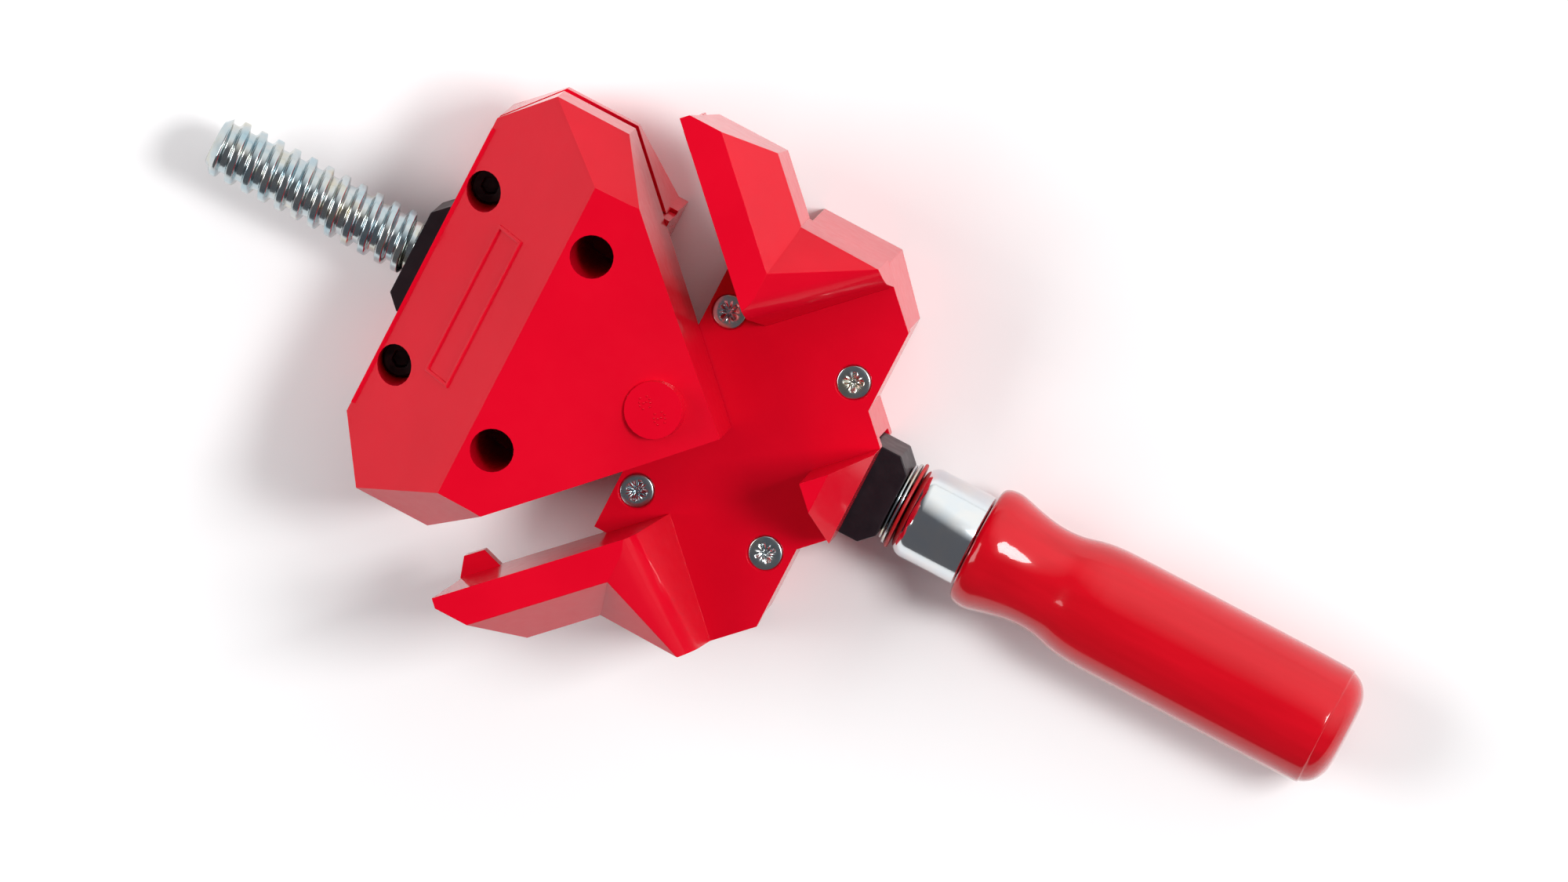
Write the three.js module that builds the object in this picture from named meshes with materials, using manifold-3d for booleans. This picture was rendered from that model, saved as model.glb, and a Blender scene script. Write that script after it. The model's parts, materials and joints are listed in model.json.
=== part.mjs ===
// A 90 degree corner clamp for wood frames: a fixed corner body with two arms, a sliding
// triangular jaw, and a screw spindle with a turned handle.
//
// Millimetres. X runs along the spindle towards the handle, Y across it, Z up. The origin is
// on the base plane, under the point where the clamping planes of the two arms meet.

import * as THREE from "three";
import { mergeVertices } from "three/addons/utils/BufferGeometryUtils.js";
import Module from "manifold-3d";

// Driving dimensions.
const AXIS_HEIGHT = 15; // spindle axis above the base plane
const PLATE_TOP = 32; // level that the clamped boards lie on
const BODY_SPLIT = 28; // parting plane of the two halves of the fixed body
const ARM_TOP = 62; // flat top of the arms
const ARM_STRIP = 10.8; // x + |y| where an arm's flat top ends
const ARM_BACK = 21.7; // x + |y| at the back wall of an arm
const ARM_BACK_HEIGHT = 45; // height of the edge along that back wall
const ARM_ROOT = -26.2; // x where an arm's flat top ends and its gusset starts
const GUSSET_SLOPE = 0.74; // fall of the gusset for each millimetre in x
const GUSSET_ROUNDING = 9; // radius between its sloping top and its steep inner face
const BODY_HALF_WIDTH = 46.7;
const BODY_CORNER = 40.3; // x + |y| at the slanted outer corners of the body
const JAW_FACE = -19.3; // x + |y| at the clamping planes of the jaw
const JAW_BACK = -93.5; // x of the jaw's long side
const JAW_HALF_WIDTH = 47.1;
const JAW_BOTTOM = 32.5; // underside of the jaw's wings, just over the plate
const JAW_RIDGE = -66.5; // x of the ridge across the jaw
const JAW_TOP = 65;
const JAW_WING_HEIGHT = 44.4; // height of the outer edges of the wings
const JAW_WING_CREASE = 36.6; // |y| where the wings start to fall
const JAW_APEX_DROP = 10.6; // fall of the crowned top from the ridge to the apex
const JAW_SPLIT = 20; // parting plane inside the jaw
const JAW_CORE_END = -51; // x where the core under the jaw ends
const JAW_CORE_HALF_WIDTH = 33;
const GAP = 0.3; // clearance between pieces that touch

const PITCH = 4; // spindle thread
const CREST_RADIUS = 6.75;
const ROOT_RADIUS = 5.3;
const SPINDLE_FREE_END = -145.6;
const THREAD_END = -14;
const JOURNAL_RADIUS = 5;
const TANG_RADIUS = 4.5;
const TANG_END = 80;

const BLOCK_START = -12.2; // bearing block
const BLOCK_END = 18.2;
const BLOCK_HALF_WIDTH = 10.3;
const BLOCK_PIVOT = -2;
const CHANNEL_HALF_WIDTH = 11.2; // spindle channel in the fixed body
const JAW_CHANNEL_HALF_WIDTH = 10.5;
const CHANNEL_FLOOR = 4.5;
const NUT_BACK = -97.3; // swivel nut
const NUT_FRONT = -78.6;
const NUT_HALF_WIDTH = 12.6;
const NUT_PIVOT = -88;
const SLIDER_BOTTOM = 5; // nut and bearing block share one height
const SLIDER_TOP = 25;
const PIVOT_RADIUS = 3;

const WASHER_START = 18.5;
const COLLAR_START = 19.3;
const RING_START = 20.3;
const FERRULE_START = 21.3;
const FERRULE_END = 37;
const FERRULE_RADIUS = 10.35;
const HANDLE_START = 37.3;
const HANDLE_LENGTH = 89;

const PLATE_SCREWS = [[-0.7, 20.6], [-0.7, -20.6], [-31, 21.6], [-31, -21.6]];
const SCREW_HEAD_RADIUS = 3.7;
const SCREW_SHANK_RADIUS = 2;
const JAW_SCREW = [-88.6, 20.9];
const JAW_SCREW_HEAD_TOP = 27;
const OPEN_HOLE = [-60.5, 23.2];
const OPEN_HOLE_RADIUS = 4.65;
const OPEN_HOLE_FLOOR = 24;
const BOSS_X = -34.3;
const BOSS_TOP = 62.4;
const ROUND = 24; // sides of the round pieces
const FAR = 400; // size of the blocks that trim a plane

const RED = new THREE.MeshStandardMaterial({ color: 0xd4001f, roughness: 0.28, metalness: 0 });
const BLACK = new THREE.MeshStandardMaterial({ color: 0x1a1518, roughness: 0.45, metalness: 0.2 });
const ZINC = new THREE.MeshStandardMaterial({ color: 0xb9c4c8, roughness: 0.3, metalness: 1 });
const CHROME = new THREE.MeshStandardMaterial({ color: 0xd6dade, roughness: 0.12, metalness: 1 });
const LACQUER = new THREE.MeshStandardMaterial({ color: 0xcc0a1c, roughness: 0.2, metalness: 0 });

const wasm = await Module();
wasm.setup();

// A closed geometry as a solid that can be joined and cut.
function solidFrom(geometry) {
  const bare = geometry.clone();
  bare.deleteAttribute("normal");
  bare.deleteAttribute("uv");
  const merged = mergeVertices(bare, 1e-4);
  const corners = merged.index.array;
  const triangles = [];
  for (let i = 0; i < corners.length; i += 3) {
    const [a, b, c] = [corners[i], corners[i + 1], corners[i + 2]];
    if (a !== b && b !== c && c !== a) {
      triangles.push(a, b, c);
    }
  }
  return new wasm.Manifold(new wasm.Mesh({
    numProp: 3,
    vertProperties: new Float32Array(merged.attributes.position.array),
    triVerts: new Uint32Array(triangles),
  }));
}

function pieceFrom(name, solid, material) {
  const mesh = solid.getMesh();
  const geometry = new THREE.BufferGeometry();
  const corners = new Float32Array(mesh.vertProperties);
  geometry.setAttribute("position", new THREE.BufferAttribute(corners, 3));
  geometry.setIndex(new THREE.BufferAttribute(new Uint32Array(mesh.triVerts), 1));
  geometry.computeVertexNormals();
  const piece = new THREE.Mesh(geometry, material);
  piece.name = name;
  return piece;
}

// A plan outline raised between two heights.
function prism(outline, bottom, top) {
  const shape = new THREE.Shape(outline.map(([x, y]) => new THREE.Vector2(x, y)));
  const geometry = new THREE.ExtrudeGeometry(shape, { depth: top - bottom, bevelEnabled: false });
  geometry.translate(0, 0, bottom);
  return solidFrom(geometry);
}

// The outline of one half (y > 0), from one end of the axis to the other, with its mirror image.
function bothSides(half) {
  const other = half.map(([x, y]) => [x, -y]).reverse();
  return [...half, ...other];
}

function bar([x0, x1], [y0, y1], [z0, z1]) {
  const geometry = new THREE.BoxGeometry(x1 - x0, y1 - y0, z1 - z0);
  geometry.translate((x0 + x1) / 2, (y0 + y1) / 2, (z0 + z1) / 2);
  return solidFrom(geometry);
}

// A round post or hole along Z, which may taper.
function post([x, y], bottomRadius, bottom, top, topRadius = bottomRadius, sides = ROUND) {
  const geometry = new THREE.CylinderGeometry(topRadius, bottomRadius, top - bottom, sides);
  geometry.rotateX(Math.PI / 2);
  geometry.translate(x, y, (bottom + top) / 2);
  return solidFrom(geometry);
}

// A turned piece on the spindle axis, from [x, radius] points that start and end on the axis.
function turned(profile, sides = ROUND) {
  const geometry = new THREE.LatheGeometry(profile.map(([x, r]) => new THREE.Vector2(r, x)), sides);
  geometry.rotateZ(-Math.PI / 2);
  geometry.translate(0, 0, AXIS_HEIGHT);
  return solidFrom(geometry);
}

function rod(radius, start, end, sides = ROUND) {
  return turned([[start, 0], [start, radius], [end, radius], [end, 0]], sides);
}

function washer(outer, inner, start, end) {
  return rod(outer, start, end).subtract(rod(inner, start - 1, end + 1));
}

// Cuts away everything beyond a plane, which is given by a point on it and its outward normal.
function trim(solid, point, normal) {
  const direction = new THREE.Vector3(...normal).normalize();
  const geometry = new THREE.BoxGeometry(FAR, FAR, FAR);
  geometry.translate(0, 0, FAR / 2);
  const turn = new THREE.Quaternion().setFromUnitVectors(new THREE.Vector3(0, 0, 1), direction);
  geometry.applyQuaternion(turn);
  geometry.translate(...point);
  return solid.subtract(solidFrom(geometry));
}

// The normal of the plane through three points, turned to point up.
function upwardNormal(a, b, c) {
  const [p, q, r] = [a, b, c].map((point) => new THREE.Vector3(...point));
  const normal = q.sub(p).cross(r.sub(p));
  if (normal.z < 0) {
    normal.negate();
  }
  return normal.toArray();
}

// ---- Fixed body ----

const armRootCorner = [ARM_ROOT, ARM_STRIP - ARM_ROOT, ARM_TOP];
const gussetCorner = [-25.2, BODY_HALF_WIDTH, ARM_BACK_HEIGHT];
const gussetEndX = BODY_CORNER - BODY_HALF_WIDTH;
const gussetEnd = [gussetEndX, BODY_HALF_WIDTH, ARM_TOP - GUSSET_SLOPE * (gussetEndX - ARM_ROOT)];
const footStart = [-22.6, 22.6, PLATE_TOP]; // foot of the gusset on the clamping plane
const footEnd = [-2.45, 42.75, PLATE_TOP];

function onSide([x, y, z], side) {
  return [x, y * side, z];
}

// The gusset's sloping top and its steep inner face, and the rounding between them, limit the
// arm as well. The rounding is a row of planes that touch one cylinder along the crease.
function trimToGusset(solid, side) {
  const armEnd = [ARM_ROOT, -ARM_ROOT, ARM_TOP];
  const slope = new THREE.Vector3(GUSSET_SLOPE, 0, 1).normalize();
  const steep = new THREE.Vector3(...upwardNormal(footStart, footEnd, armEnd)).normalize();
  const inward = slope.clone().add(steep).multiplyScalar(GUSSET_ROUNDING / (1 + slope.dot(steep)));
  const centre = new THREE.Vector3(...armEnd).sub(inward);
  const steps = 6;
  let trimmed = solid;
  for (let i = 0; i <= steps; i += 1) {
    const normal = slope.clone().lerp(steep, i / steps).normalize();
    const point = centre.clone().addScaledVector(normal, GUSSET_ROUNDING);
    trimmed = trim(trimmed, onSide(point.toArray(), side), onSide(normal.toArray(), side));
  }
  return trimmed;
}

function arm(side) {
  const outline = [[-57.6, 57.6], [-56, 59.2], [-37.5, 59.2], [-25.2, 46.9], [-25.2, 25.2]];
  const chamferNormal = [ARM_TOP - ARM_BACK_HEIGHT, side * (ARM_TOP - ARM_BACK_HEIGHT),
    ARM_BACK - ARM_STRIP];
  let solid = prism(outline.map(([x, y]) => [x, side * y]), BODY_SPLIT, ARM_TOP);
  solid = trim(solid, onSide(armRootCorner, side), chamferNormal);
  solid = trim(solid, [-56, side * 59.2, ARM_TOP], [0, side, -0.05]);
  solid = trim(solid, [-57.6, side * 57.6, ARM_TOP], [-1, side, -0.16]);
  return trimToGusset(solid, side);
}

function gusset(side) {
  const [rootX, rootY] = armRootCorner;
  const outline = [[rootX, -rootX], [footStart[0], footStart[1]], [footEnd[0], footEnd[1]],
    [gussetEnd[0], gussetEnd[1]], [gussetCorner[0], gussetCorner[1]], [rootX, rootY]];
  const solid = prism(outline.map(([x, y]) => [x, side * y]), BODY_SPLIT, ARM_TOP);
  const flank = upwardNormal(armRootCorner, gussetCorner, gussetEnd);
  return trimToGusset(trim(solid, onSide(gussetCorner, side), onSide(flank, side)), side);
}

// A small ledge low on an arm's clamping face, which carries the board at plate level.
function restLug(side) {
  const along = 52.6;
  const reach = 4.2;
  const corner = (distance, out) => {
    const shift = out / Math.SQRT2;
    const slide = distance / Math.SQRT2;
    return [-along - slide - shift, side * (along + slide - shift)];
  };
  const outline = [corner(-4.5, -1), corner(-4.5, 0), corner(-2.3, reach), corner(2.3, reach),
    corner(4.5, 0), corner(4.5, -1)];
  return prism(outline, BODY_SPLIT, PLATE_TOP);
}

// The wedge at the corner that the boards' ends butt against.
function cornerLug() {
  const reach = 10.8;
  const solid = prism([[0, 0], [reach, -reach], [reach, reach]], BODY_SPLIT, 58);
  return trim(solid, [4.6, 0, 58], [2.5, 0, 1]);
}

const bodyOutline = [[-35.5, 32.6], [-30.5, 32.6], [-25.2, 38], [-25.2, BODY_HALF_WIDTH],
  [gussetEndX, BODY_HALF_WIDTH], [4.9, 35.4], [4.9, 16.7], [10.8, 10.8]];

function countersink([x, y]) {
  const top = PLATE_TOP + 0.01;
  const cone = post([x, y], SCREW_SHANK_RADIUS + GAP, top - 2.4, top, SCREW_HEAD_RADIUS + GAP);
  return cone.add(post([x, y], SCREW_SHANK_RADIUS + GAP, BODY_SPLIT - 1, top - 2));
}

function bodyTop() {
  let solid = prism(bothSides(bodyOutline), BODY_SPLIT, PLATE_TOP).add(cornerLug());
  for (const side of [1, -1]) {
    solid = solid.add(arm(side)).add(gusset(side)).add(restLug(side));
  }
  for (const place of PLATE_SCREWS) {
    solid = solid.subtract(countersink(place));
  }
  return solid.subtract(post([BLOCK_PIVOT, 0], PIVOT_RADIUS + GAP, BODY_SPLIT - 1, 30.5));
}

function bodyBase() {
  const inset = 0.6;
  const outline = bodyOutline.map(([x, y]) => [x - Math.sign(x) * inset, y - inset]);
  const top = BODY_SPLIT - GAP;
  const channel = bar([-60, 40], [-CHANNEL_HALF_WIDTH, CHANNEL_HALF_WIDTH], [CHANNEL_FLOOR, 40]);
  let solid = prism(bothSides(outline), 0, top).subtract(channel);
  for (const place of PLATE_SCREWS) {
    solid = solid.subtract(post(place, SCREW_SHANK_RADIUS + GAP, 13, top + 1, undefined, 12));
  }
  return solid.subtract(post([BLOCK_PIVOT, 0], PIVOT_RADIUS + GAP, 1, 10));
}

// A countersunk screw with a cross recess.
function plateScrew([x, y]) {
  const top = PLATE_TOP - 0.1;
  const recess = 2.1;
  const head = post([x, y], SCREW_SHANK_RADIUS, top - 2.1, top, SCREW_HEAD_RADIUS);
  const shank = post([x, y], SCREW_SHANK_RADIUS, 14, top - 2, undefined, 12);
  const slotX = bar([x - recess, x + recess], [y - 0.5, y + 0.5], [top - 1.3, top + 1]);
  const slotY = bar([x - 0.5, x + 0.5], [y - recess, y + recess], [top - 1.3, top + 1]);
  return head.add(shank).subtract(slotX).subtract(slotY);
}

// ---- Bearing, spindle and handle ----

function bearingBlock() {
  const chamfer = 3;
  const half = BLOCK_HALF_WIDTH;
  const outline = [[BLOCK_START, half], [BLOCK_END - chamfer, half], [BLOCK_END, half - chamfer]];
  const solid = prism(bothSides(outline), SLIDER_BOTTOM, SLIDER_TOP);
  return solid
    .subtract(rod(JOURNAL_RADIUS + GAP, BLOCK_START - 1, BLOCK_END + 1))
    .subtract(post([BLOCK_PIVOT, 0], PIVOT_RADIUS + GAP, SLIDER_BOTTOM - 1, SLIDER_TOP + 1));
}

// One column of the thread for each step of the turn, with four corners to each pitch. The
// columns climb by one pitch in a full turn, so the last one joins the first a pitch further.
function threadedBar(start, turns, steps) {
  const corners = [[0, ROOT_RADIUS], [0.25, CREST_RADIUS], [0.5, CREST_RADIUS], [0.75, ROOT_RADIUS]];
  const rows = turns * corners.length;
  const positions = [start - PITCH, 0, 0, start + (turns + 2) * PITCH, 0, 0];
  for (let step = 0; step < steps; step += 1) {
    const angle = (step / steps) * 2 * Math.PI;
    for (let row = 0; row <= rows; row += 1) {
      const [shift, radius] = corners[row % corners.length];
      const x = start + PITCH * (step / steps + shift + Math.floor(row / corners.length));
      positions.push(x, -radius * Math.sin(angle), radius * Math.cos(angle));
    }
  }
  // The row in the column before the first one belongs to the pitch before.
  const at = (step, row) => {
    const wrapped = step === steps;
    return 2 + (wrapped ? 0 : step) * (rows + 1) + row + (wrapped ? corners.length : 0);
  };
  const triangles = [];
  for (let step = 0; step < steps; step += 1) {
    const last = step === steps - 1 ? rows - corners.length : rows;
    for (let row = 0; row < last; row += 1) {
      triangles.push(at(step, row), at(step + 1, row), at(step + 1, row + 1));
      triangles.push(at(step, row), at(step + 1, row + 1), at(step, row + 1));
    }
    triangles.push(0, at(step + 1, 0), at(step, 0));
  }
  for (let row = 0; row < corners.length; row += 1) {
    triangles.push(0, at(0, row), at(0, row + 1));
    triangles.push(1, at(steps - 1, rows - row), at(steps - 1, rows - row - 1));
  }
  for (let step = 0; step < steps - 1; step += 1) {
    triangles.push(1, at(step, rows), at(step + 1, rows));
  }
  triangles.push(1, at(steps - 1, rows - corners.length), at(0, rows));
  const geometry = new THREE.BufferGeometry();
  geometry.setAttribute("position", new THREE.Float32BufferAttribute(positions, 3));
  geometry.setIndex(triangles);
  geometry.translate(0, 0, AXIS_HEIGHT);
  return solidFrom(geometry);
}

function spindle() {
  const length = THREAD_END - SPINDLE_FREE_END;
  const turns = Math.ceil(length / PITCH) + 3;
  const thread = threadedBar(SPINDLE_FREE_END - 2 * PITCH, turns, 12);
  const envelope = turned([[SPINDLE_FREE_END, 0], [SPINDLE_FREE_END, ROOT_RADIUS],
    [SPINDLE_FREE_END + 1.6, CREST_RADIUS + 0.4], [THREAD_END, CREST_RADIUS + 0.4], [THREAD_END, 0]]);
  return thread.intersect(envelope)
    .add(rod(JOURNAL_RADIUS, THREAD_END - 1, COLLAR_START + 0.7))
    .add(rod(TANG_RADIUS, BLOCK_END, TANG_END));
}

function ferrule() {
  const wall = 1.4;
  const rounding = 3;
  const profile = [[FERRULE_START, 0]];
  for (let i = 0; i <= 4; i += 1) {
    const angle = (i / 4) * (Math.PI / 2);
    const radius = FERRULE_RADIUS - rounding + rounding * Math.sin(angle);
    profile.push([FERRULE_START + rounding - rounding * Math.cos(angle), radius]);
  }
  profile.push([FERRULE_END, FERRULE_RADIUS], [FERRULE_END, 0]);
  return turned(profile, 32)
    .subtract(rod(FERRULE_RADIUS - wall, FERRULE_START + rounding, FERRULE_END + 1))
    .subtract(rod(TANG_RADIUS + GAP, FERRULE_START - 1, FERRULE_END));
}

// A turned grip: a bead behind the ferrule, a waist for the finger, and a full barrel.
function handle() {
  const beads = [[1, 13.1], [2.6, 13.65], [5, 13.5], [9, 12.5], [13, 11.7], [16.5, 11.45],
    [20, 11.75], [24, 12.75], [28, 13.35], [34, 13.55], [58, 13.6], [HANDLE_LENGTH - 8, 13.5],
    [HANDLE_LENGTH - 4.5, 12.9], [HANDLE_LENGTH - 2, 11.3], [HANDLE_LENGTH - 0.5, 8.6]];
  const tenonStart = FERRULE_START + 3 + GAP;
  const tenonRadius = FERRULE_RADIUS - 1.4 - GAP;
  const profile = [[tenonStart, 0], [tenonStart, tenonRadius], [HANDLE_START, tenonRadius],
    [HANDLE_START, 12], ...beads.map(([x, r]) => [HANDLE_START + x, r]),
    [HANDLE_START + HANDLE_LENGTH, 6.6], [HANDLE_START + HANDLE_LENGTH, 0]];
  return turned(profile, 28).subtract(rod(TANG_RADIUS + GAP, tenonStart - 1, TANG_END + GAP, 16));
}

// ---- Swivel nut and jaw ----

function swivelNut() {
  const chamfer = 3;
  const outline = [[NUT_BACK, NUT_HALF_WIDTH - chamfer], [NUT_BACK + chamfer, NUT_HALF_WIDTH],
    [NUT_FRONT - chamfer, NUT_HALF_WIDTH], [NUT_FRONT, NUT_HALF_WIDTH - chamfer]];
  return prism(bothSides(outline), SLIDER_BOTTOM, SLIDER_TOP)
    .subtract(rod(CREST_RADIUS + 0.5, NUT_BACK - 1, NUT_FRONT + 1))
    .subtract(post([NUT_PIVOT, 0], PIVOT_RADIUS + GAP, SLIDER_BOTTOM - 1, SLIDER_TOP + 1));
}

// Room for the spindle along the jaw, and for the nut at its long side.
function jawChannel() {
  const top = SLIDER_TOP + 1;
  const half = JAW_CHANNEL_HALF_WIDTH;
  const nutHalf = NUT_HALF_WIDTH + 1.1;
  const run = bar([JAW_BACK - 10, JAW_CORE_END + 10], [-half, half], [CHANNEL_FLOOR, top]);
  return run.add(bar([JAW_BACK - 10, NUT_FRONT + 1.1], [-nutHalf, nutHalf], [CHANNEL_FLOOR, top]));
}

const jawOutline = [[JAW_BACK, 35.3], [-83.5, JAW_HALF_WIDTH],
  [JAW_FACE - JAW_HALF_WIDTH, JAW_HALF_WIDTH], [JAW_FACE, 0]];

// Height of the crowned top at a place between the ridge and the apex.
function crownHeight(x) {
  const part = (x - JAW_RIDGE) / (JAW_FACE - JAW_RIDGE);
  return JAW_TOP - JAW_APEX_DROP * part * part;
}

function jawShell() {
  const [back] = jawOutline;
  let solid = prism([...jawOutline, ...jawOutline.slice(0, 3).reverse().map(([x, y]) => [x, -y])],
    JAW_BOTTOM, JAW_TOP);
  solid = trim(solid, [back[0], 0, JAW_BOTTOM],
    [-(JAW_TOP - JAW_BOTTOM), 0, JAW_RIDGE - back[0]]);
  for (const side of [1, -1]) {
    solid = trim(solid, [0, side * JAW_WING_CREASE, JAW_TOP],
      [0, side * (JAW_TOP - JAW_WING_HEIGHT), JAW_HALF_WIDTH - JAW_WING_CREASE]);
  }
  const steps = 6;
  for (let i = 0; i < steps; i += 1) {
    const x0 = JAW_RIDGE + ((JAW_FACE - JAW_RIDGE) * i) / steps;
    const x1 = JAW_RIDGE + ((JAW_FACE - JAW_RIDGE) * (i + 1)) / steps;
    solid = trim(solid, [x0, 0, crownHeight(x0)], [crownHeight(x0) - crownHeight(x1), 0, x1 - x0]);
  }
  return solid;
}

function jawTop() {
  const half = JAW_CORE_HALF_WIDTH;
  const core = bar([JAW_BACK, JAW_CORE_END], [-half, half], [JAW_SPLIT, JAW_BOTTOM + 1]);
  const boss = post([BOSS_X, 0], 7.3, 50, BOSS_TOP, 6.15);
  let solid = jawShell().add(core).add(boss).subtract(jawChannel());
  for (const side of [1, -1]) {
    const [x, y] = JAW_SCREW;
    const bearing = JAW_SCREW_HEAD_TOP - 4.3;
    solid = solid
      .subtract(post([x, side * y], 4.2, bearing, JAW_TOP))
      .subtract(post([x, side * y], 2.6, JAW_SPLIT - 1, bearing + 1, undefined, 12))
      .subtract(post([OPEN_HOLE[0], side * OPEN_HOLE[1]], OPEN_HOLE_RADIUS, OPEN_HOLE_FLOOR, JAW_TOP));
  }
  return solid.subtract(post([NUT_PIVOT, 0], PIVOT_RADIUS + GAP, SLIDER_TOP, 29.3));
}

// A wing of the lower shell: its underside rises from the base plane to the wing's tip.
function lowerWing(side) {
  const top = 27.4;
  const inner = JAW_CORE_HALF_WIDTH + GAP;
  const outline = [[JAW_BACK, inner], [JAW_BACK, 35.3], [-83.5, JAW_HALF_WIDTH],
    [JAW_FACE - JAW_HALF_WIDTH, JAW_HALF_WIDTH], [JAW_FACE - inner, inner]];
  const solid = prism(outline.map(([x, y]) => [x, side * y]), 0, top);
  return trim(solid, [0, side * inner, 0], [0, side * 24, -(JAW_HALF_WIDTH - inner)]);
}

function jawBase() {
  const half = JAW_CORE_HALF_WIDTH + GAP + 0.5;
  let solid = bar([JAW_BACK, JAW_CORE_END], [-half, half], [0, JAW_SPLIT - GAP]);
  for (const side of [1, -1]) {
    const [x, y] = JAW_SCREW;
    solid = solid.add(lowerWing(side))
      .subtract(post([x, side * y], 2.6, 5, JAW_SPLIT, undefined, 12));
  }
  return solid.subtract(jawChannel())
    .subtract(post([NUT_PIVOT, 0], PIVOT_RADIUS + GAP, 1, CHANNEL_FLOOR + 1));
}

// A socket-head screw, sunk in its counterbore.
function jawScrew(side) {
  const place = [JAW_SCREW[0], side * JAW_SCREW[1]];
  const headBottom = JAW_SCREW_HEAD_TOP - 4;
  return post(place, 3.75, headBottom, JAW_SCREW_HEAD_TOP)
    .add(post(place, 2.3, 6, headBottom + 1, undefined, 12))
    .subtract(post(place, 2, JAW_SCREW_HEAD_TOP - 2.4, JAW_SCREW_HEAD_TOP + 1, undefined, 6));
}

function pivot(x, bottom, top) {
  return post([x, 0], PIVOT_RADIUS, bottom, top);
}

const fixedBody = new THREE.Group();
fixedBody.add(pieceFrom("body_top", bodyTop(), RED));
fixedBody.add(pieceFrom("body_base", bodyBase(), RED));
PLATE_SCREWS.forEach((place, i) => {
  fixedBody.add(pieceFrom(`plate_screw_${i + 1}`, plateScrew(place), ZINC));
});
fixedBody.add(pieceFrom("block_pivot_upper", pivot(BLOCK_PIVOT, 20.8, 30.2), ZINC));
fixedBody.add(pieceFrom("block_pivot_lower", pivot(BLOCK_PIVOT, 1.3, 9.2), ZINC));

const bearing = new THREE.Group();
bearing.add(pieceFrom("bearing_block", bearingBlock(), BLACK));

const screw = new THREE.Group();
screw.add(pieceFrom("spindle", spindle(), ZINC));
screw.add(pieceFrom("inner_washer", washer(7.4, JOURNAL_RADIUS + GAP, -13.7, -12.5), ZINC));
screw.add(pieceFrom("thrust_washer", washer(8.7, JOURNAL_RADIUS + GAP, WASHER_START, 19), ZINC));
screw.add(pieceFrom("spindle_collar", washer(9.4, JOURNAL_RADIUS + GAP, COLLAR_START, 20), ZINC));
screw.add(pieceFrom("friction_ring", washer(9.9, TANG_RADIUS + GAP, RING_START, 21), LACQUER));
screw.add(pieceFrom("ferrule", ferrule(), CHROME));
screw.add(pieceFrom("handle", handle(), LACQUER));

const nut = new THREE.Group();
nut.add(pieceFrom("swivel_nut", swivelNut(), BLACK));

const jaw = new THREE.Group();
jaw.add(pieceFrom("jaw_top", jawTop(), RED));
jaw.add(pieceFrom("jaw_base", jawBase(), RED));
jaw.add(pieceFrom("jaw_screw_1", jawScrew(1), BLACK));
jaw.add(pieceFrom("jaw_screw_2", jawScrew(-1), BLACK));
jaw.add(pieceFrom("nut_pivot_upper", pivot(NUT_PIVOT, 22.6, 29), ZINC));
jaw.add(pieceFrom("nut_pivot_lower", pivot(NUT_PIVOT, 1.3, 7.4), ZINC));

const cornerClamp = new THREE.Group();
cornerClamp.add(fixedBody, bearing, screw, nut, jaw);

export default cornerClamp;
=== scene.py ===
"""Looks of a 90 degree corner clamp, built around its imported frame. Metres, Blender 4.5."""

import json
import math

import bmesh
import bpy
from mathutils import Matrix, Vector


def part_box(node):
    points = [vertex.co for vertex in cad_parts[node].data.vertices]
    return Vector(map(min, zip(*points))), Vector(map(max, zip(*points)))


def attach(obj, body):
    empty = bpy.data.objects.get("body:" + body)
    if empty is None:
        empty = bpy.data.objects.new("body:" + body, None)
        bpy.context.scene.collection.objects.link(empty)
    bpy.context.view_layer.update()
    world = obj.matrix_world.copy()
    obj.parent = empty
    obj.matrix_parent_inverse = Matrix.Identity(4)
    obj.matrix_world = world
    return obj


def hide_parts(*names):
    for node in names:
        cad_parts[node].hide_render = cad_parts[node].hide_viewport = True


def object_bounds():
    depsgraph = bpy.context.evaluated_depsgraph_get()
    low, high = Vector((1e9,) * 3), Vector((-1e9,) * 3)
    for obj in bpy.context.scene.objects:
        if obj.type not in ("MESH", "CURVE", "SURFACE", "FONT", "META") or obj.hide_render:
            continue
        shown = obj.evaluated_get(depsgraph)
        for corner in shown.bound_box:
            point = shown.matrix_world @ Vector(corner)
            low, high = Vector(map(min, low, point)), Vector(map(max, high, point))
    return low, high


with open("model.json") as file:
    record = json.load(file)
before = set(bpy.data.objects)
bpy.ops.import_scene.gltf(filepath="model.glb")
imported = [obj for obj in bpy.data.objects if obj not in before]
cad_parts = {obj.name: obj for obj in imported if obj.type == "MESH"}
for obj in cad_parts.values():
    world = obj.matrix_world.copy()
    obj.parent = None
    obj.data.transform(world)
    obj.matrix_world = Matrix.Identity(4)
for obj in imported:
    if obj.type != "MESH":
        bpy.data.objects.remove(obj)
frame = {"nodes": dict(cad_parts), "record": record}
CAD_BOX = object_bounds()

MM = 0.001
TURN = 2 * math.pi
SLOT_OF = {part["node"]: part["material_slot"] for part in frame["record"]["subparts"]}
BODY_OF = {node: body for body, nodes in frame["record"]["behaviour"]["bodies"].items()
           for node in nodes}

# Sizes that the frame's boxes don't give.
AXIS_Z = (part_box("spindle")[0].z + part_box("spindle")[1].z) / 2
PITCH = 4 * MM
THREAD_ROOT = 5.25 * MM
THREAD_END = -14 * MM
JOURNAL_END = 20 * MM
JOURNAL_RADIUS = 5 * MM
TANG_RADIUS = 4.5 * MM
BOSS_X = -34.3 * MM
BOSS_TOP = 62.4 * MM
JAW_SLOPE_FOOT = 32.5 * MM  # lower edge of the slope over the jaw's long side
JAW_SLOPE_RUN = 27 * MM  # and how far it reaches in x

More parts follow.
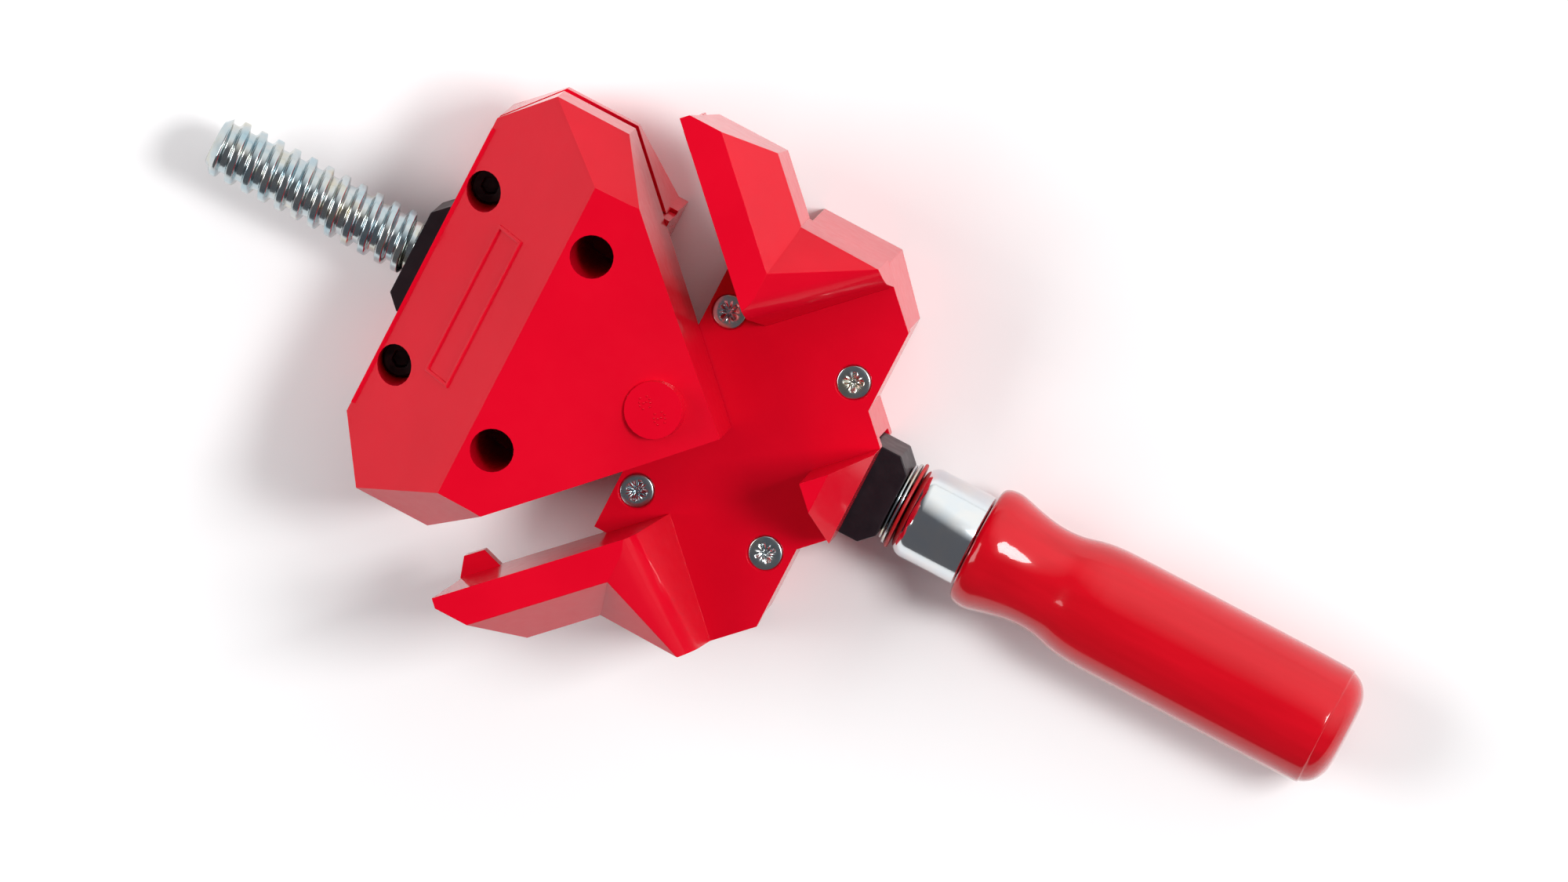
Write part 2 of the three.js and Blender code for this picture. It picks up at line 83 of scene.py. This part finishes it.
# View and light.
CAMERA_DISTANCE = 5.0
VIEW_WIDTH = 0.3333  # width of the view at the spindle
SKY_STRENGTH = 1.15
BRIGHT_SIDE = (0.45, 0.85, 0.2)  # where the bright part of the sky lies
FLOOR_HALF = 4.0
FLOOR_DROP = 0.2 * MM


# ---- Node helpers ----

class Nodes:
    """A material's node tree, with short calls for adding and linking nodes."""

    def __init__(self, name):
        self.material = bpy.data.materials.new(name)
        self.material.use_nodes = True
        self.tree = self.material.node_tree
        self.shader = self.tree.nodes["Principled BSDF"]

    def add(self, kind, **settings):
        node = self.tree.nodes.new(kind)
        for key, value in settings.items():
            if key in node.inputs:
                node.inputs[key].default_value = value
            else:
                setattr(node, key, value)
        return node

    def link(self, source, target):
        self.tree.links.new(source, target)

    def set(self, **values):
        for key, value in values.items():
            self.shader.inputs[key.replace("_", " ")].default_value = value

    def coordinates(self, scale=(1, 1, 1)):
        place = self.add("ShaderNodeTexCoord")
        mapping = self.add("ShaderNodeMapping")
        mapping.inputs["Scale"].default_value = scale
        self.link(place.outputs["Object"], mapping.inputs["Vector"])
        return mapping.outputs["Vector"]

    def noise(self, vector, scale, detail=2.0, roughness=0.5):
        node = self.add("ShaderNodeTexNoise", Scale=scale, Detail=detail, Roughness=roughness)
        self.link(vector, node.inputs["Vector"])
        return node.outputs["Fac"]

    def ramp(self, factor, stops):
        node = self.add("ShaderNodeValToRGB")
        points = node.color_ramp.elements
        while len(points) < len(stops):
            points.new(0.5)
        for point, (position, colour) in zip(points, stops):
            point.position = position
            point.color = (*colour, 1)
        self.link(factor, node.inputs["Fac"])
        return node.outputs["Color"]

    def between(self, factor, low, high):
        node = self.add("ShaderNodeMapRange")
        node.inputs["To Min"].default_value = low
        node.inputs["To Max"].default_value = high
        self.link(factor, node.inputs["Value"])
        return node.outputs["Result"]

    def bumps(self, layers):
        """Bump layers, each (height socket, strength, distance), chained into the normal."""
        normal = None
        for height, strength, distance in layers:
            node = self.add("ShaderNodeBump", Strength=strength, Distance=distance)
            self.link(height, node.inputs["Height"])
            if normal:
                self.link(normal, node.inputs["Normal"])
            normal = node.outputs["Normal"]
        self.link(normal, self.shader.inputs["Normal"])


# ---- Materials ----

def powder_coat():
    m = Nodes("red_powder_coat")
    vector = m.coordinates()
    tone = m.noise(vector, 35, 3)
    colour = m.ramp(tone, [(0.3, (0.62, 0.0, 0.013)), (0.7, (0.68, 0.001, 0.016))])
    m.link(colour, m.shader.inputs["Base Color"])
    speck = m.noise(vector, 420, 2)
    m.link(m.between(speck, 0.3, 0.42), m.shader.inputs["Roughness"])
    peel = m.noise(vector, 520, 1.5)
    sag = m.noise(vector, 130, 1)
    m.bumps([(sag, 0.06, 0.0003), (peel, 0.05, 0.0001)])
    m.set(Coat_Weight=0.8, Coat_Roughness=0.06, Coat_IOR=1.2, IOR=1.14)
    return m.material


def black_cast():
    m = Nodes("black_cast")
    vector = m.coordinates()
    cloud = m.noise(vector, 120, 5, 0.65)
    colour = m.ramp(cloud, [(0.3, (0.006, 0.002, 0.005)), (0.75, (0.016, 0.007, 0.011))])
    m.link(colour, m.shader.inputs["Base Color"])
    m.link(m.between(m.noise(vector, 300, 4), 0.28, 0.55), m.shader.inputs["Roughness"])
    m.bumps([(m.noise(vector, 900, 2), 0.3, 0.00008), (cloud, 0.2, 0.0002)])
    m.set(Specular_IOR_Level=0.3)
    return m.material


def plated(name, tints, roughness, grain):
    """Zinc or chrome plating: a faint tint that changes over the surface, and fine marks."""
    m = Nodes(name)
    vector = m.coordinates()
    colour = m.ramp(m.noise(vector, 180, 3), tints)
    m.link(colour, m.shader.inputs["Base Color"])
    m.link(m.between(m.noise(vector, 500, 4), *roughness), m.shader.inputs["Roughness"])
    marks = m.noise(m.coordinates(grain), 60, 3)
    m.bumps([(marks, 0.15, 0.00006)])
    m.set(Metallic=1.0)
    return m.material


def lacquer():
    m = Nodes("red_lacquered_wood")
    vector = m.coordinates()
    grain = m.noise(m.coordinates((0.12, 1, 1)), 260, 4)
    colour = m.ramp(grain, [(0.35, (0.52, 0.001, 0.008)), (0.7, (0.6, 0.002, 0.011))])
    m.link(colour, m.shader.inputs["Base Color"])
    m.link(m.between(m.noise(vector, 90, 3), 0.12, 0.24), m.shader.inputs["Roughness"])
    m.bumps([(m.noise(vector, 70, 1), 0.35, 0.0008), (grain, 0.12, 0.0001)])
    m.set(Coat_Weight=1.0, Coat_Roughness=0.05, Coat_IOR=1.38, IOR=1.2)
    return m.material


def fibre():
    m = Nodes("red_fibre")
    vector = m.coordinates()
    tones = [(0.3, (0.42, 0.004, 0.008)), (0.7, (0.55, 0.008, 0.01))]
    colour = m.ramp(m.noise(vector, 400, 4), tones)
    m.link(colour, m.shader.inputs["Base Color"])
    m.link(m.between(m.noise(vector, 700, 2), 0.35, 0.5), m.shader.inputs["Roughness"])
    m.bumps([(m.noise(vector, 1200, 2), 0.2, 0.00005)])
    return m.material


def black_oxide():
    m = Nodes("black_oxide_steel")
    vector = m.coordinates()
    tones = [(0.3, (0.012, 0.011, 0.012)), (0.7, (0.04, 0.036, 0.036))]
    colour = m.ramp(m.noise(vector, 500, 3), tones)
    m.link(colour, m.shader.inputs["Base Color"])
    m.link(m.between(m.noise(vector, 900, 3), 0.3, 0.5), m.shader.inputs["Roughness"])
    m.bumps([(m.noise(vector, 1500, 2), 0.2, 0.00004)])
    m.set(Metallic=0.8)
    return m.material


ZINC_TINTS = [(0.3, (0.38, 0.52, 0.58)), (0.55, (0.56, 0.6, 0.6)), (0.75, (0.6, 0.55, 0.4))]
FERRULE_TINTS = [(0.3, (0.7, 0.76, 0.8)), (0.7, (0.8, 0.8, 0.78))]
MATERIALS = {
    "red_powder_coat": powder_coat(),
    "black_cast": black_cast(),
    "zinc_steel": plated("zinc_steel", ZINC_TINTS, (0.14, 0.26), (1, 1, 1)),
    "polished_ferrule": plated("polished_ferrule", FERRULE_TINTS, (0.06, 0.16), (0.1, 1, 1)),
    "red_lacquered_wood": lacquer(),
    "red_fibre": fibre(),
    "black_oxide_steel": black_oxide(),
}

# ---- Mesh helpers ----

def place(name, mesh, node, replaces=True, smooth=False):
    """Adds a piece that stands for a CAD node, or that sits on one, with its body and finish."""
    piece = bpy.data.objects.new(name, mesh)
    bpy.context.scene.collection.objects.link(piece)
    mesh.materials.clear()
    mesh.materials.append(MATERIALS[SLOT_OF[node]])
    for face in mesh.polygons:
        face.use_smooth = smooth
    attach(piece, BODY_OF[node])
    if replaces:
        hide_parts(node)
    return piece


def mesh_piece(name, form, node, replaces=True, smooth=False):
    bmesh.ops.recalc_face_normals(form, faces=form.faces)
    mesh = bpy.data.meshes.new(name)
    form.to_mesh(mesh)
    form.free()
    return place(name, mesh, node, replaces, smooth)


def bevelled(piece, width, segments=3):
    """Rounds the edges and keeps the large faces flat in their shading."""
    bevel = piece.modifiers.new("edges", "BEVEL")
    bevel.width = width
    bevel.segments = segments
    bevel.limit_method = "ANGLE"
    bevel.angle_limit = math.radians(20)
    bevel.miter_outer = "MITER_ARC"
    flat = piece.modifiers.new("flat_faces", "WEIGHTED_NORMAL")
    flat.weight = 100
    for face in piece.data.polygons:
        face.use_smooth = True


def clean_copy(node):
    """The CAD node's surface with its flat stretches joined into single faces."""
    form = bmesh.new()
    form.from_mesh(frame["nodes"][node].data)
    bmesh.ops.remove_doubles(form, verts=form.verts, dist=2e-6)
    bmesh.ops.dissolve_limit(form, angle_limit=math.radians(0.6), verts=form.verts, edges=form.edges)
    mesh = bpy.data.meshes.new(node)
    form.to_mesh(mesh)
    form.free()
    return mesh


def casting(node, width):
    """A casting with its edges rounded."""
    bevelled(place(f"{node}_cast", clean_copy(node), node), width)


def turned(name, profile, node, sides=96):
    """A piece turned on the spindle axis from [x, radius] points. The profile is closed."""
    form = bmesh.new()
    rings = []
    for i in range(sides):
        angle = TURN * i / sides
        rings.append([form.verts.new((x, r * math.cos(angle), AXIS_Z + r * math.sin(angle)))
                      for x, r in profile])
    count = len(profile)
    for i in range(sides):
        ring, following = rings[i], rings[(i + 1) % sides]
        for j in range(count):
            k = (j + 1) % count
            form.faces.new((ring[j], ring[k], following[k], following[j]))
    bmesh.ops.remove_doubles(form, verts=form.verts, dist=1e-7)
    mesh_piece(name, form, node, smooth=True)


def sheath(form, rings, closed_ends=True):
    """Joins rings of vertices, all of one length, into a tube with flat ends."""
    for ring, following in zip(rings, rings[1:]):
        for i in range(len(ring)):
            k = (i + 1) % len(ring)
            form.faces.new((ring[i], ring[k], following[k], following[i]))
    if closed_ends:
        form.faces.new(rings[0])
        form.faces.new(rings[-1])


def around(x, radius, sides):
    """Points of a ring about the spindle axis. The radius may be a function of the angle."""
    points = []
    for i in range(sides):
        angle = TURN * i / sides
        r = radius(angle) if callable(radius) else radius
        points.append((x, -r * math.sin(angle), AXIS_Z + r * math.cos(angle)))
    return points


def smooth_line(points, steps=6):
    """A Catmull-Rom curve through 2-D points."""
    line = []
    for i in range(len(points) - 1):
        a, b = points[i], points[i + 1]
        before = points[i - 1] if i else a
        after = points[i + 2] if i + 2 < len(points) else b
        for k in range(steps):
            t = k / steps
            line.append(tuple(
                0.5 * (2 * q + (r - p) * t + (2 * p - 5 * q + 4 * r - s) * t * t
                       + (3 * q - p - 3 * r + s) * t ** 3)
                for p, q, r, s in zip(before, a, b, after)))
    return line + [points[-1]]


# ---- Castings ----

def panel_frame():
    """A plain raised frame on the slope over the jaw's long side."""
    low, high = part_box("jaw_top")
    along = Vector((JAW_SLOPE_RUN, 0, high.z - JAW_SLOPE_FOOT)).normalized()
    out = Vector((-along.z, 0, along.x))
    up_the_slope = 23.4 * MM
    centre = Vector((low.x, 0, JAW_SLOPE_FOOT)) + along * up_the_slope
    half_length, half_width = 17.6 * MM, 4.9 * MM
    rim, rise, sunk = 0.8 * MM, 0.45 * MM, -0.3 * MM
    section = ((-0.1 * MM, sunk), (0.15 * MM, rise), (rim, rise), (rim + 0.25 * MM, sunk))
    form = bmesh.new()
    rings = []
    for inset, height in section:
        ring = []
        for u, v in ((-1, -1), (1, -1), (1, 1), (-1, 1)):
            point = centre + along * u * (half_width - inset) + out * height
            point.y += v * (half_length - inset)
            ring.append(form.verts.new(point))
        rings.append(ring)
    sheath(form, rings + rings[:1], closed_ends=False)
    bevelled(mesh_piece("jaw_panel_frame", form, "jaw_top", replaces=False), 0.12 * MM, 2)


def dot(form, centre, radius, rise):
    """A small domed dot on a level surface."""
    x, y, z = centre
    sides = 10
    rings = []
    for angle in (0, 0.5, 1.0, 1.4):
        reach = radius * math.cos(angle)
        height = z + rise * math.sin(angle)
        rings.append([form.verts.new((x + reach * math.cos(TURN * i / sides),
                                      y + reach * math.sin(TURN * i / sides), height))
                      for i in range(sides)])
    sheath(form, rings)


def boss_dots():
    """Two clusters of tiny casting dots on the jaw's round boss."""
    top = BOSS_TOP - 0.02 * MM
    for number, (shift_x, shift_y) in enumerate(((-2.4, 0.6), (1.9, -0.9))):
        form = bmesh.new()
        for i in range(4):
            for j in range(4):
                if (i + j) % 3 == 0:  # gaps keep the cluster irregular
                    continue
                x = BOSS_X + (shift_x + (i - 1.5) * 0.8 + (j % 2) * 0.3) * MM
                y = (shift_y + (j - 1.5) * 0.85 + (i % 2) * 0.25) * MM
                dot(form, (x, y, top), 0.26 * MM, 0.2 * MM)
        mesh_piece(f"boss_dots_{number + 1}", form, "jaw_top", replaces=False, smooth=True)


def castings():
    for node in ("body_top", "body_base", "jaw_top", "jaw_base"):
        casting(node, 0.4 * MM)
    for node in ("bearing_block", "swivel_nut"):
        casting(node, 0.45 * MM)
    panel_frame()
    boss_dots()


# ---- Fasteners ----

def recess_radius(angle):
    """Outline of a cross recess with four small ticks between its arms. The numbers are mm."""
    arm = abs(math.sin(2 * angle) / 2) / max(abs(math.cos(angle)), abs(math.sin(angle)))
    cross = min(2.15, 0.42 / max(arm, 0.01))
    tick = abs(math.sin(2 * (angle + math.pi / 4)) / 2)
    short = min(1.35, 0.16 / max(tick, 0.01))
    return max(cross, short, 0.95) * MM


def plate_screw(node, turn):
    low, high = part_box(node)
    x, y, top = (low.x + high.x) / 2, (low.y + high.y) / 2, high.z
    radius = (high.x - low.x) / 2
    sides = 96
    form = bmesh.new()

    def ring(size, z):
        points = []
        for i in range(sides):
            angle = TURN * i / sides
            r = size(angle) if callable(size) else size
            across, along = math.cos(angle + turn), math.sin(angle + turn)
            points.append(form.verts.new((x + r * across, y + r * along, z)))
        return points

    shank = 2 * MM
    recess = [ring(0.35 * MM, top - 1.3 * MM),
              ring(lambda a: recess_radius(a) * 0.72, top - 1.2 * MM),
              ring(lambda a: recess_radius(a) * 0.96, top - 0.12 * MM),
              ring(lambda a: recess_radius(a) + 0.07 * MM, top - 0.02 * MM)]
    head = [ring(2.6 * MM, top), ring(radius - 0.35 * MM, top - 0.02 * MM),
            ring(radius - 0.1 * MM, top - 0.1 * MM), ring(radius, top - 0.28 * MM)]
    sheath(form, recess + head + [ring(shank, top - 2.1 * MM), ring(shank, low.z)])
    mesh_piece(f"{node}_head", form, node, smooth=True)


def fasteners():
    for number, turn in enumerate((0.35, 0.8, 1.1, 0.1)):
        plate_screw(f"plate_screw_{number + 1}", turn)
    for number in (1, 2):
        node = f"jaw_screw_{number}"
        bevelled(place(f"{node}_head", clean_copy(node), node), 0.25 * MM)


# ---- Spindle line ----

def thread_radius(x, angle, start, root, crest):
    """Rounded trapezoid thread, right-handed, in step with the frame's thread."""
    phase = ((x - start) / PITCH - angle / TURN) % 1.0
    height = min(1.0, max(0.0, 0.5 + 0.95 * math.cos(TURN * (phase - 0.375))))
    height = height * height * (3 - 2 * height)
    return root + (crest - root) * height


def spindle():
    low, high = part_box("spindle")
    crest = (high.y - low.y) / 2
    step = 0.2 * MM
    sides = 72
    form = bmesh.new()
    rings = []
    count = round((THREAD_END - low.x) / step)
    for i in range(count + 1):
        x = low.x + i * step
        chamfer = THREAD_ROOT - 0.5 * MM + (x - low.x)

        def radius(angle):
            return min(thread_radius(x, angle, low.x - 2 * PITCH, THREAD_ROOT, crest), chamfer)

        rings.append([form.verts.new(point) for point in around(x, radius, sides)])
    plain = ((THREAD_END + 0.1 * MM, JOURNAL_RADIUS), (JOURNAL_END - 0.1 * MM, JOURNAL_RADIUS),
             (JOURNAL_END, TANG_RADIUS), (high.x, TANG_RADIUS))
    for x, radius in plain:
        rings.append([form.verts.new(point) for point in around(x, radius, sides)])
    sheath(form, rings)
    mesh_piece("spindle_thread", form, "spindle", smooth=True)


def ring_piece(node, hole, rounding):
    """A washer or collar with rounded outer edges."""
    low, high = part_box(node)
    radius = (high.z - low.z) / 2
    steps = 4
    profile = [(low.x, hole)]
    for start, sign in ((low.x + rounding, -1), (high.x - rounding, 1)):
        for i in range(steps + 1):
            angle = (i / steps) * math.pi / 2
            lift = math.sin(angle) if sign < 0 else math.cos(angle)
            reach = math.cos(angle) if sign < 0 else math.sin(angle)
            profile.append((start + sign * rounding * reach, radius - rounding + rounding * lift))
    profile.append((high.x, hole))
    turned(f"{node}_ring", profile, node)


def ferrule():
    low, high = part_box("ferrule")
    radius = (high.z - low.z) / 2
    rounding, wall, bore = 3.2 * MM, 1.2 * MM, 4.9 * MM
    steps = 10
    outer = []
    for i in range(steps + 1):
        angle = i * math.pi / (2 * steps)
        outer.append((low.x + rounding * (1 - math.cos(angle)),
                      radius - rounding + rounding * math.sin(angle)))
    profile = [(low.x + 0.05 * MM, bore), (low.x, bore + 0.2 * MM), *outer,
               (high.x - 0.4 * MM, radius), (high.x - 0.1 * MM, radius - 0.1 * MM),
               (high.x, radius - 0.4 * MM), (high.x, radius - wall),
               (low.x + rounding, radius - wall), (low.x + rounding, bore)]
    turned("ferrule_tube", profile, "ferrule", 128)


def handle():
    """The turned grip. Its outline is in mm, from the front bead and back from the end."""
    low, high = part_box("handle")
    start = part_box("ferrule")[1].x + 0.3 * MM
    length = high.x - start
    beads = [(0, 11.6), (0.35, 12.5), (1.2, 13.2), (2.8, 13.6), (5, 13.5), (9, 12.5), (13, 11.7),
             (16.5, 11.45), (20, 11.75), (24, 12.75), (28, 13.35), (34, 13.55), (58, 13.6)]
    tail = [(8, 13.5), (4.5, 12.9), (2, 11.3), (0.5, 8.6), (0.05, 5.5)]
    points = [(start + x * MM, r * MM) for x, r in beads]
    points += [(start + length - x * MM, r * MM) for x, r in tail]
    tenon = 8.6 * MM
    bore = TANG_RADIUS + 0.3 * MM
    bore_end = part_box("spindle")[1].x + 0.5 * MM
    profile = [(low.x, bore), (low.x, tenon), (start, tenon), *smooth_line(points),
               (high.x, 0.5 * MM), (high.x, 0.0), (bore_end, 0.0), (bore_end, bore)]
    turned("handle_grip", profile, "handle", 160)


def spindle_line():
    clearance = 0.3 * MM
    spindle()
    ring_piece("inner_washer", JOURNAL_RADIUS + clearance, 0.2 * MM)
    ring_piece("thrust_washer", JOURNAL_RADIUS + clearance, 0.15 * MM)
    ring_piece("spindle_collar", JOURNAL_RADIUS + clearance, 0.25 * MM)
    ring_piece("friction_ring", TANG_RADIUS + clearance, 0.25 * MM)
    ferrule()
    handle()


def finish_frame():
    """Gives the frame's own nodes their finish: the pivot pins stay as the frame has them."""
    for node, thing in frame["nodes"].items():
        thing.data.materials.clear()
        thing.data.materials.append(MATERIALS[SLOT_OF[node]])


castings()
fasteners()
spindle_line()
finish_frame()


# ---- Floor, light and camera ----

def floor():
    mesh = bpy.data.meshes.new("floor")
    half = FLOOR_HALF
    level = CAD_BOX[0].z - FLOOR_DROP
    mesh.from_pydata([(-half, -half, level), (half, -half, level), (half, half, level),
                      (-half, half, level)], [], [(0, 1, 2, 3)])
    thing = bpy.data.objects.new("floor", mesh)
    bpy.context.scene.collection.objects.link(thing)
    m = Nodes("pale_floor")
    m.set(Base_Color=(0.93, 0.93, 0.93, 1), Roughness=0.9, Specular_IOR_Level=0.1)
    mesh.materials.append(m.material)


def area_light(name, position, size, power):
    """A square soft light that faces the clamp."""
    data = bpy.data.lights.new(name, "AREA")
    data.shape = "RECTANGLE"
    data.size = size
    data.size_y = size
    data.energy = power
    light = bpy.data.objects.new(name, data)
    light.location = position
    direction = Vector((0, 0, 0.02)) - Vector(position)
    light.rotation_euler = direction.to_track_quat("-Z", "Y").to_euler()
    bpy.context.scene.collection.objects.link(light)


def sky():
    """A dim room with one bright side, which the steel and the side walls reflect."""
    world = bpy.data.worlds.new("studio")
    bpy.context.scene.world = world
    world.use_nodes = True
    tree = world.node_tree
    direction = tree.nodes.new("ShaderNodeTexCoord")
    facing = tree.nodes.new("ShaderNodeVectorMath")
    facing.operation = "DOT_PRODUCT"
    facing.inputs[1].default_value = Vector(BRIGHT_SIDE).normalized()
    ramp = tree.nodes.new("ShaderNodeValToRGB")
    tree.links.new(direction.outputs["Generated"], facing.inputs[0])
    tree.links.new(facing.outputs["Value"], ramp.inputs["Fac"])
    tree.links.new(ramp.outputs["Color"], tree.nodes["Background"].inputs["Color"])
    stops = ramp.color_ramp.elements
    stops[0].position = 0.35
    stops[0].color = (0.1, 0.1, 0.11, 1)
    stops[1].position = 0.8
    stops[1].color = (1, 1, 1, 1)
    tree.nodes["Background"].inputs["Strength"].default_value = SKY_STRENGTH


def studio():
    sky()
    area_light("key", (0.7, 0.55, 1.25), 0.42, 14)
    area_light("fill", (-1.1, -0.25, 0.95), 0.9, 13)
    bpy.context.scene.view_settings.view_transform = "Standard"


def camera():
    """Almost from above, turned so that the spindle falls to the right."""
    toward = Vector((0.042, 0.1515, 0.9875)).normalized()
    right = Vector((0.8834, 0.4687, 0))
    right = (right - toward * right.dot(toward)).normalized()
    up = toward.cross(right)
    data = bpy.data.cameras.new("camera")
    data.sensor_width = 36
    data.lens = data.sensor_width * CAMERA_DISTANCE / VIEW_WIDTH
    data.clip_start = 0.5
    data.clip_end = 40
    thing = bpy.data.objects.new("camera", data)
    target = Vector((-0.0088, 0.0, AXIS_Z))
    turn = Matrix((right, up, toward)).transposed().to_4x4()
    thing.matrix_world = Matrix.Translation(target + toward * CAMERA_DISTANCE) @ turn
    bpy.context.scene.collection.objects.link(thing)
    bpy.context.scene.camera = thing


floor()
studio()
camera()

bpy.context.view_layer.update()
